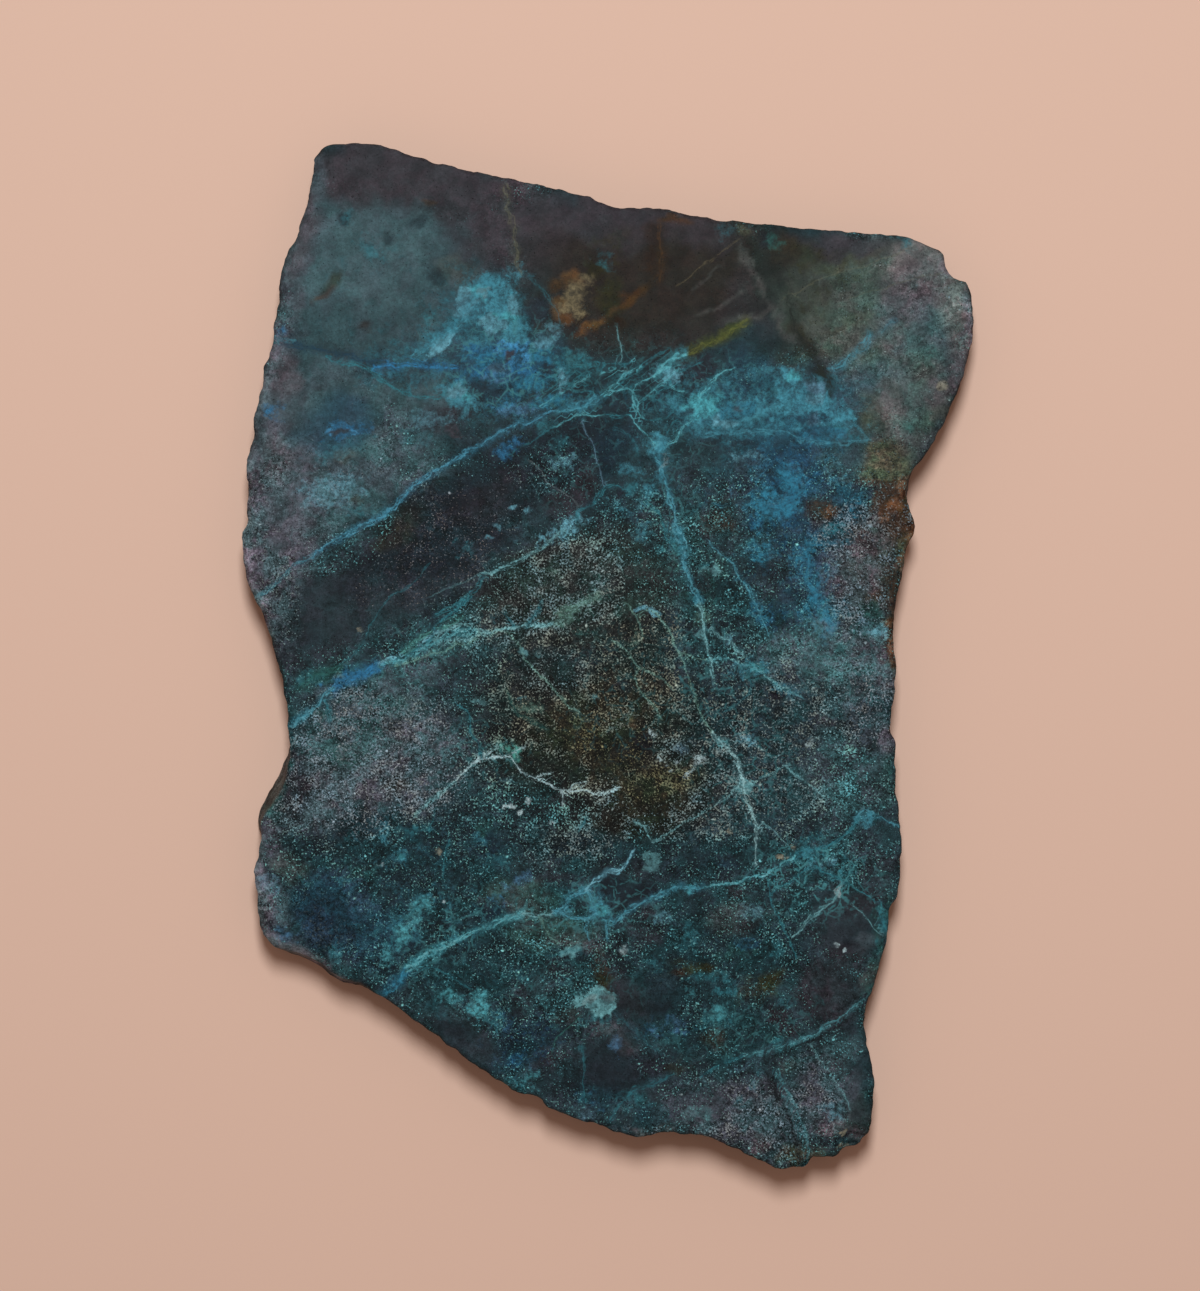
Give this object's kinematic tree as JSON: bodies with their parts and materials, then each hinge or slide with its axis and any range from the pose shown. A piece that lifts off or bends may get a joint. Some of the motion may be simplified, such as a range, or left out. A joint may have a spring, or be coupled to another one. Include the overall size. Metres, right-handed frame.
{
  "type": "chrysocolla specimen",
  "caption": "Flat sawn slab of chrysocolla in dark copper ore rock with a natural broken rim, a hand specimen that lies flat for display.",
  "frame": {"origin": "centre of the bounding box in X and Y, on the underside that the slab rests on", "axes": "+Z out of the sawn face on show, +Y along the slab's length towards its upper edge, +X to the right of that face"},
  "size_m": [0.0734, 0.1028, 0.006],
  "materials": {
    "rock": "satin sawn face with a rough broken rim"
  },
  "bodies": {
    "root": {"slab": "rock"}
  },
  "joints": []
}
